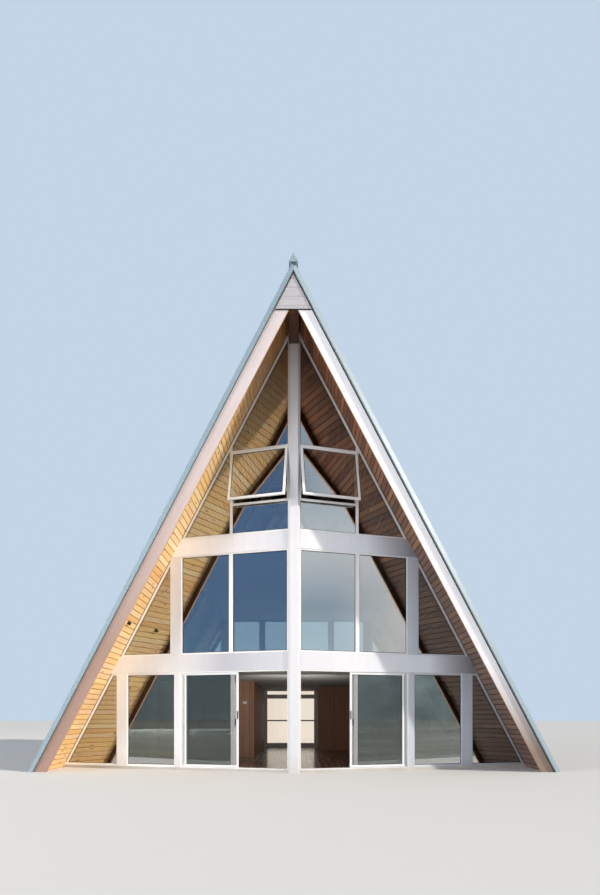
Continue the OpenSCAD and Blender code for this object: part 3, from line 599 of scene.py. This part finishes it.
def prisms(name, sections, finish):
    """Closed prisms with one finish, each made from a list of equal rings; the ends are capped."""
    bm = bmesh.new()
    for rings in sections:
        made = [[bm.verts.new(p) for p in ring] for ring in rings]
        count = len(made[0])
        for low, high in zip(made, made[1:]):
            for i in range(count):
                bm.faces.new((low[i], low[(i + 1) % count], high[(i + 1) % count], high[i]))
        bm.faces.new(made[0])
        bm.faces.new(reversed(made[-1]))
    bmesh.ops.recalc_face_normals(bm, faces=bm.faces)
    return new_piece(name, bm, finish)


def lay_courses(name, side, outline, settings):
    """One roof slope of pieces with this outline, given as points up the slope and below it."""
    steps = [step_on(side, up, down) for up, down in outline]
    made = prisms(name, [[[(x, y, z) for x, z in steps] for y in (0.0, 1.0)]], settings["Finish"])
    laid = made.modifiers.new("courses", "NODES")
    laid.node_group = roof_courses
    settings = {"Side": float(side), **settings}
    for item in roof_courses.interface.items_tree:
        if item.in_out == "INPUT" and item.name in settings:
            laid[item.identifier] = settings[item.name]
    settle(made)
    return made


# Oiled cedar, in a lit and a shaded copy. On the left it is painted golden and full of light,
# and darker towards the ridge as painted shade; on the right it is painted red-brown and dull,
# as in shade, and greyer low down as painted blue shade. Small dark knots, and joints a tone
# deeper than the boards, which also come as a lit and a shaded copy.
board_pitch = 0.124696
board_back, board_face = 0.163, 0.200
half_joint, chamfer_wide, chamfer_deep = 0.0024, 0.0095, 0.006
board_outline = [
    (half_joint, board_back), (board_pitch - half_joint, board_back),
    (board_pitch - half_joint, board_face - chamfer_deep), (board_pitch - chamfer_wide, board_face),
    (chamfer_wide, board_face), (half_joint, board_face - chamfer_deep)]
cedar_painted_sunlit = timber("oiled_cedar_boards_painted_sunlight", ["#FFE2A4", "#FBD08C", "#F9D2A8", "#FFEAB8", "#F2BC7C"],
                    "#DDAA66", knot="#7A4A28", streak=0.32, rough=0.5,
                    fade=("#8E6048", 9.2, 6.7, "MULTIPLY", 1.0))
cedar_painted_shaded = timber("shaded_cedar_boards", ["#AC6A42", "#74452E", "#9A6240", "#BE8456", "#623A26"],
                     "#553220", knot="#3A2418", streak=0.42, rough=0.5,
                     fade=("#6C6562", 2.6, 8.2, "MIX", 0.68))
left_joint = timber("cedar_joints", ["#DB9C52"], "#A0662E", rough=0.6)
right_joint = timber("shaded_cedar_joints", ["#5A3E2E"], "#33221A", rough=0.6)
for side, hand, cedar, joint in ((-1, "left", cedar_painted_sunlit, left_joint),
                                 (1, "right", cedar_painted_shaded, right_joint)):
    boards = lay_courses(hand + "_ceiling_boards", side, board_outline,
                         {"Courses": 84, "First": 0.1155, "Pitch": board_pitch, "Per Course": 6,
                          "Length": 3.4, "Uneven": 0.5, "Gap": 0.003, "Slip": 0.0, "Edge": 0.001,
                          "Seed": 40 + side, "Finish": cedar})
    lay_grain(boards.data, (0, 1, 0))
    boards.data.materials.append(joint)
    below = Vector((-rise * side, 0, -run))
    for face in boards.data.polygons:
        if face.normal.dot(below) < 0.95:
            face.material_index = 1
    show(boards, stands_for=[hand + "_ceiling"])


# Soffit lamp: a small can lamp screwed to the left soffit, a turned aluminium collar with its
# lens set back. Its baked black coat shows as a dark dot with a thin bright rim.
can_coat = painted("black_lamp_coat", "#1B1A1A", rough=0.45, grit=300, mottle=0.15, metal=0.3)
can_x, can_y, can_z = -3.452, tip_y + 0.40, 3.092
can_sides = 24
can_profile = ((0.0, 0.042), (0.006, 0.042), (0.008, 0.034), (0.052, 0.034), (0.056, 0.031),
               (0.056, 0.026), (0.040, 0.024))
can_rings = []
for out, radius in can_profile:
    middle = Vector((can_x + rise * out, can_y, can_z - run * out))
    turns = [i * 2 * math.pi / can_sides for i in range(can_sides)]
    can_rings.append([middle + Vector((0, 1, 0)) * radius * math.cos(turn)
                      + Vector((run, 0, rise)) * radius * math.sin(turn) for turn in turns])
show(prisms("soffit_lamp", [can_rings], can_coat))


# Roof: sheathing on each slope under split cedar shingles, nailed by hand in courses with
# broken joints and left to weather to grey-brown.
def depth_of(spot):
    """How far below the outer roof face a point lies."""
    return (half_base - abs(spot.x)) * rise - spot.z * run


# Bare sheathing: dull tan. Weathered shingles: silver-grey to brown, each its own tone, matt.
sheathing = timber("roof_sheathing", ["#7A654B"], "#54432F", rough=0.75)
shingle_wood = timber("weathered_cedar_shingles",
                      ["#9B9085", "#867A6E", "#A89C90", "#73685D", "#90857C"], "#5C5148",
                      rough=0.85)
shingle_length = 0.165
shingle_room = 0.0142
shingle_outline = [(0, 0.0002), (shingle_length, 0.0130), (shingle_length, 0.0145), (0, 0.0115)]
for side, hand in ((-1, "left"), (1, "right")):
    shingles = lay_courses(hand + "_shingles", side, shingle_outline,
                           {"Courses": 77, "First": 0.012, "Pitch": 0.14, "Per Course": 86,
                            "Length": 0.155, "Uneven": 0.55, "Gap": 0.003, "Slip": 0.0015,
                            "Edge": 0.002, "Seed": 60 + side, "Finish": shingle_wood})
    lay_grain(shingles.data, (-run * side, 0, rise))
    deck = bmesh.new()
    deck.from_mesh(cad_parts[hand + "_roof"].data)
    bmesh.ops.remove_doubles(deck, verts=deck.verts, dist=1e-5)
    for v in deck.verts:
        depth = depth_of(v.co)
        if depth < 0.001:
            x, z = step_on(side, 0, shingle_room - depth)
            v.co.x += x
            v.co.z = max(v.co.z + z, 0.0)
    deck = new_piece(hand + "_deck", deck, sheathing)
    lay_grain(deck.data, (0, 1, 0))
    show(deck, stands_for=[hand + "_roof"])
    show(shingles)


# Ridge cap: folded sheet over the ridge, screwed through the shingles. It has the brushed paint
# of the trims: a chalky blue-grey with faint runs and a low sheen.
blue_trim = painted("trim_paint_pale_blue", "#93A5AE", rough=0.4, mottle=0.06, runs=0.08)
eased("ridge_cap", blue_trim, edge=0.002)


# Rake boards: a wide board up each leaning edge of the roof, limed on its face, with the dark
# stain on its back as painted shade. The outer trim is planed to a slope that sheds rain, with a
# groove beside it.
trim_depth = 0.092
trim_fall = 0.050


def planed(bm):
    """Planes a trim's face to a slope that falls away outwards."""
    for v in bm.verts:
        out = abs(v.co.y) - (edge_foot + edge_lean * v.co.z)
        if out > 0.05 and depth_of(v.co) < 0.02:
            v.co.y -= math.copysign(trim_fall, v.co.y)


def grooved(bm, groove):
    """Draws a board's upper edge back from the trim, which leaves a groove."""
    for v in bm.verts:
        if depth_of(v.co) < trim_depth + 0.001:
            if v.co.z < 0.001:
                v.co.x -= math.copysign(groove / rise, v.co.x)
            elif abs(v.co.x) < 0.001:
                v.co.z -= groove / run
                v.co.y -= math.copysign(groove / run * edge_lean, v.co.y)


# Limed softwood: chalk white with a pinkish grain, browner towards the ground on the left. The
# right board is a lighter copy, painted as lit, and its browning near the ground is a painted
# shadow. The planed lower edges are unlimed and warm. The peak's boards are limed grey.
left_liming = timber("limed_rake_boards", ["#DDD0D0"], "#CABBB7", rough=0.5,
                     fade=("#C2AB9C", 2.5, 7.5, "MULTIPLY", 1.0))
right_liming = timber("limed_rake_boards_lit", ["#F2F0F4"], "#E6E2E4", rough=0.5,
                      fade=("#9C8676", 0.4, 2.2, "MULTIPLY", 1.0))
board_edge_wood = timber("planed_board_edges", ["#D9AE8C"], "#B98A66", rough=0.5)
for hand, liming, groove in (("left", left_liming, 0.012), ("right", right_liming, 0.030)):
    board = eased(hand + "_rake_boards", liming, along=up_slope,
                  shape=lambda bm: grooved(bm, groove))
    board.data.materials.append(stain_and_painted_shade)
    board.data.materials.append(board_edge_wood)
    # Faces turned towards the house take the dark stain as painted shade; lower edges take bare
    # wood.
    for face in board.data.polygons:
        if face.normal.y * face.center.y < -0.5 * abs(face.center.y):
            face.material_index = 1
        elif abs(face.normal.y) < 0.5 and face.normal.z < -0.2:
            face.material_index = 2
    eased(hand + "_rake_trims", blue_trim, edge=0.002, shape=planed)
peak_liming = timber("peak_boards", ["#BEBABD", "#C2BFC1", "#BAB6B9"], "#AEA8AB", rough=0.5,
                     seam=0.15, seam_colour="#ABA5A8")
eased("peak_panels", peak_liming, edge=0.002, along=(1, 0, 0))


# Windows: aluminium frames, screwed into the openings. A dark strip where their outer edge meets
# the roof boards, and another along the foot of each peak panel, are painted shadow.
#
# Powder coat, sprayed and baked: white with a tight, fairly sharp highlight. Its across ramp is
# painted light and shade: warm and bright on the left, greyer on the right.
frame_coat_lit_and_shaded = painted("white_powder_coat_painted_light", "#E6E5E5", rough=0.3, grit=400, mottle=0.02, across=(
    (-4.6, "#FFFBF6"), (-0.8, "#E9E6E4"), (1.8, "#E6E5E6"), (2.9, "#C6C9D0"), (4.6, "#AEB2BB")))
for storey in ("ground_frames", "second_frames", "third_frame"):
    for hand in ("left", "right"):
        eased(hand + "_" + storey, frame_coat_lit_and_shaded, edge=0.002)
for node in ("left_awning", "right_awning", "back_frames"):
    eased(node, frame_coat_lit_and_shaded, edge=0.002)

prow_cos, prow_sin = 0.963163, 0.268920


def on_wall(side, u, w, z):
    """A point of a prow wall: u along it from the tip, w behind its face, at height z."""
    return Vector((side * (prow_cos * u - prow_sin * w), tip_y + prow_sin * u + prow_cos * w, z))


# A dark strip, soft at its edges, that takes no clear highlight: painted shadow in the gaps.
shadow_strip_finish = painted("dark_strip_painted_shadow", "#2E2A27", rough=0.55, grit=60, mottle=0.2)
soffit_shadow_section = ((0.015, 0.199), (0.004, 0.199), (0.008, 0.208), (0.015, 0.212))
for side, hand in ((-1, "left"), (1, "right")):
    soffit_strip = [[on_wall(side, (half_base - (z * run + depth) / rise + prow_sin * w) / prow_cos, w, z)
             for w, depth in soffit_shadow_section] for z in (0.12, 3.0, 6.0, 8.7)]
    show(prisms(hand + "_soffit_painted_shadow", [soffit_strip], shadow_strip_finish))
peak_shadow_section = ((0.040, 0.0), (0.056, 0.0), (0.058, -0.006), (0.052, -0.012), (0.040, -0.012))
peak_foot_z, peak_foot_x = 8.6489, 0.3337
shadow_strips = []
for way in (-1, 1):
    shadow_strips.append([[(x, way * (edge_foot + edge_lean * (peak_foot_z + z) + out), peak_foot_z + z)
                   for out, z in peak_shadow_section] for x in (-peak_foot_x, peak_foot_x)])
show(prisms("peak_painted_shadow", shadow_strips, shadow_strip_finish))


# Glass: laminated panes with a solar-control coat, so that by day they mirror almost half of
# what is in front of them. Black rubber gaskets hold each pane, with dark stops behind it that
# are painted shade over the frames' sunlit inner sides.
# The coat shows in the high IOR; the tint greys what is seen through it.
def glass(name, body_tint, ior, shade):
    """Clear glass that lets daylight through as a shade, so that the rooms behind it are lit."""
    made, tree, shader = new_finish(name)
    fill(tree, shader, {"Base Color": tint(body_tint), "Roughness": 0.0, "IOR": ior,
                        "Transmission Weight": 1.0})
    path = add(tree, "ShaderNodeLightPath")
    clear = add(tree, "ShaderNodeBsdfTransparent", {"Color": tint(shade)})
    both = add(tree, "ShaderNodeMixShader", {0: path.outputs["Is Shadow Ray"], 1: shader, 2: clear})
    fill(tree, tree.nodes["Material Output"], {"Surface": both})
    return made


def glaze(node, finish):
    """Gives a node's own panes their glass."""
    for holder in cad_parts[node].material_slots:
        holder.material = finish


window_glass = glass("solar_control_glass", "#C6D2CF", 4.3, "#A3B0AD")
for node in ("ground_glass", "second_glass", "third_glass", "awning_glass", "left_door_glass",
             "right_door_glass"):
    glaze(node, window_glass)


def pane_faces(node):
    """The outdoor face of each pane of a node, as its corners in order and the way it looks."""
    bm = whole_faces(node)
    back_half_y = 2
    found = []
    for face in bm.faces:
        outdoors = 1 if face.calc_center_median().y > back_half_y else -1
        if face.normal.y * outdoors > 0.9:
            found.append(([v.co.copy() for v in face.verts], face.normal.copy()))
    bm.free()
    return found


def drawn_in(corners, looks, by):
    """A pane's outline moved inwards in its own plane."""
    sides = []
    for a, b in zip(corners, corners[1:] + corners[:1]):
        sides.append((a + looks.cross(b - a).normalized() * by, (b - a).normalized()))
    moved = []
    for (p, d), (q, e) in zip(sides[-1:] + sides[:-1], sides):
        across = looks.cross(e)
        moved.append(p + d * ((q - p).dot(across) / d.dot(across)))
    return moved


def glazing(name, nodes, section, finish, body="house"):
    """A strip round every pane: section gives (in from the pane's edge, out from its face)."""
    bm = bmesh.new()
    for node in nodes:
        for corners, looks in pane_faces(node):
            loops = [[bm.verts.new(p + looks * out) for p in drawn_in(corners, looks, by)]
                     for by, out in section]
            count = len(corners)
            for one, two in zip(loops, loops[1:] + loops[:1]):
                for i in range(count):
                    bm.faces.new((one[i], one[(i + 1) % count], two[(i + 1) % count], two[i]))
    bmesh.ops.recalc_face_normals(bm, faces=bm.faces)
    return show(new_piece(name, bm, finish), body)


# Extruded rubber: a thin black line with a dull sheen. The stops: near black, no glare, painted
# shade over the frames' inner sides.
gasket_rubber = painted("black_gasket_rubber", "#1E1E1F", rough=0.6, grit=220, mottle=0.2)
gasket_section = ((0.0095, -0.0005), (0.0095, 0.0065), (0.0185, 0.0045), (0.0215, -0.0005))
glazing("window_gaskets",
        ("ground_glass", "second_glass", "third_glass", "awning_glass", "back_glass"),
        gasket_section, gasket_rubber)
stop_painted_shade = painted("dark_stops_painted_shade", "#24211F", rough=0.5, grit=300, mottle=0.1)
stop_section = ((0.0095, -0.0125), (0.0095, -0.0765), (0.0135, -0.0765), (0.0135, -0.0125))
glazing("window_stops_painted_shade", ("ground_glass", "second_glass", "third_glass"), stop_section, stop_painted_shade)


# Awning windows: crossed scissor stays hold the open sashes. They are flat steel bars, riveted
# to a track at the middle of each sill, and their dark zinc gives them a soft metal sheen.
stay_metal = painted("dark_stay_metal", "#2B2724", rough=0.4, grit=500, mottle=0.1, metal=0.7)
near_u, far_u = 0.745, 0.835
track_w, foot_w, sash_w = 0.010, 0.012, -0.160
stay_foot_z, stay_sash_z = 5.566, 5.612
arm_wide, arm_thick = 0.014, 0.006


def bar(start, end, wide, thick, up=Vector((0, 0, 1))):
    """The two end rings of a flat bar between two points."""
    start, end = Vector(start), Vector(end)
    across = (end - start).cross(up).normalized() * wide / 2
    over = across.cross(end - start).normalized() * thick / 2
    return [[p + across + over, p - across + over, p - across - over, p + across - over]
            for p in (start, end)]


for side, hand in ((-1, "left"), (1, "right")):
    arms = [bar(on_wall(side, from_u, foot_w, stay_foot_z + over),
                on_wall(side, to_u, sash_w, stay_sash_z + over), arm_wide, arm_thick)
            for from_u, to_u, over in ((near_u, far_u, 0.0), (far_u, near_u, 0.008))]
    track_z = stay_foot_z - 0.004
    arms.append(bar(on_wall(side, near_u - 0.015, track_w, track_z),
                    on_wall(side, far_u + 0.015, track_w, track_z), 0.020, 0.014))
    show(prisms(hand + "_awning_stay", arms, stay_metal))


# Sliding doors: on each side of the post a glazed leaf in an aluminium frame, with a pull
# handle, runs on rollers and stands open behind its fixed panel.
for hand in ("left", "right"):
    eased(hand + "_door", frame_coat_lit_and_shaded, body=hand + "_door", edge=0.002)
    glazing(hand + "_door_gasket", [hand + "_door_glass"], gasket_section, gasket_rubber,
            body=hand + "_door")

# Bronze-coated die casting: nearly black, with a brown glint on its rounded edges.
handle_coat = painted("handle_dark_bronze", "#3A332E", rough=0.35, grit=500, mottle=0.08, metal=0.8)
for hand in ("left", "right"):
    eased(hand + "_door_handle", handle_coat, body=hand + "_door", edge=0.0015)


# Door and screen latches: a lock plate on each leaf's leading stile and a pull on each
# screen's, both cast in the same dark bronze, with eased edges, and screwed flat on.
latch_section = ((-0.010, 0.008), (-0.010, 0.001), (-0.007, -0.002), (0.007, -0.002),
                 (0.010, 0.001), (0.010, 0.008))
latch_end = 0.004
for side, hand in ((-1, "left"), (1, "right")):
    for part, body, u, w, foot, top in (("lock_plate", "_door", 1.292, 0.0665, 0.955, 1.095),
                                        ("screen_pull", "_screen", 1.219, -0.0015, 1.085, 1.255)):
        rings = [[on_wall(side, u + wide, w + deep, z) for wide, deep in latch_section]
                 for z in (foot, foot + latch_end, top - latch_end, top)]
        show(prisms(hand + "_" + part, [rings], handle_coat), hand + body)


# Insect screens: a slim aluminium frame with woven mesh rolled into it, in front of each leaf.
# The wires are drawn 0.7 mm thick every 6 mm, coarser than the real ones, so that they show.
#
# Woven, dark-coated wire: a grey veil that dims what is behind it, and a frame as on the doors.
wire_pitch, wire_thick = 0.006, 0.0007
screen_coat = painted("screen_frame_coat", "#E9E9EA", rough=0.35, grit=400, mottle=0.03)
screen_weave, tree, shader = new_finish("woven_screen_mesh")
place = add(tree, "ShaderNodeSeparateXYZ", {"Vector": add(tree, "ShaderNodeUVMap", uv_map="grain")})
wires = []
for way in ("X", "Y"):
    wire = add(tree, "ShaderNodeMath", {0: place.outputs[way], 1: wire_pitch / 2},
               operation="PINGPONG")
    wires.append(add(tree, "ShaderNodeMath", {0: wire, 1: wire_thick / 2}, operation="LESS_THAN"))
wire = add(tree, "ShaderNodeMath", {0: wires[0], 1: wires[1]}, operation="MAXIMUM")
cloud = add(tree, "ShaderNodeTexCoord")
cloud = add(tree, "ShaderNodeTexNoise", {"Vector": cloud.outputs["Object"], "Scale": 3.0})
colour = add(tree, "ShaderNodeMix", {"Factor": cloud.outputs["Fac"], "A": tint("#26292B"),
                                     "B": tint("#3A3E40")}, data_type="RGBA")
fill(tree, shader, {"Base Color": colour, "Alpha": wire, "Roughness": 0.5})
for hand in ("left", "right"):
    made = eased(hand + "_screen", screen_coat, body=hand + "_screen", edge=0.0015,
                 along=(0, 0, 1))
    made.data.materials.append(screen_weave)
    for face in made.data.polygons:
        if face.area > 1.0:
            face.material_index = 1


# Back wall: the same boxed bands and posts as the front, on one flat wall. Its panes are clear
# float glass without a coat, so the light comes through them almost untinted.
eased("back_bands", white_paint)
eased("back_posts", white_paint)
glaze("back_glass", glass("clear_float_glass", "#F4F8F6", 1.52, "#EDF2F0"))


# Inside walls: panels glued and pinned on studs, joints upright, on both sides of the passage.
# Lacquered wood veneer gives them a warm, even brown, barely shiny.
panel_width = 0.61
wall_veneer = timber("brown_veneer_panels", ["#BC8F74", "#B08468", "#C49A80"], "#8E6450",
                     rough=0.62, seam=panel_width)
for node in ("left_partition", "left_passage_wall", "right_partition", "right_passage_wall"):
    eased(node, wall_veneer, edge=0.002, along=(0, 0, 1))


# Switch plate: a double plate with two rockers, clipped over its box on the left panelled wall.
# Moulded plastic, off-white, with a faint gloss on its rounded lips.
plate_white = painted("moulded_switch_plate", "#EDEAE2", rough=0.3, grit=600, mottle=0.02)
plate_y = tip_y + 3.90
plate_lip, plate_sunk = 0.003, 0.002


def block(x0, x1, z0, z1, out):
    """The rings of a block that stands out from the wall, with its front edges drawn in."""
    rings = []
    for y, inset in ((plate_y + plate_sunk, 0.0), (plate_y - out + plate_lip, 0.0),
                     (plate_y - out, plate_lip)):
        rings.append([(x0 + inset, y, z0 + inset), (x1 - inset, y, z0 + inset),
                      (x1 - inset, y, z1 - inset), (x0 + inset, y, z1 - inset)])
    return rings


plate_and_rockers = [block(-1.405, -1.295, 1.475, 1.550, 0.007),
                     block(-1.390, -1.355, 1.490, 1.535, 0.010),
                     block(-1.345, -1.310, 1.490, 1.535, 0.010)]
show(prisms("switch_plate", plate_and_rockers, plate_white))
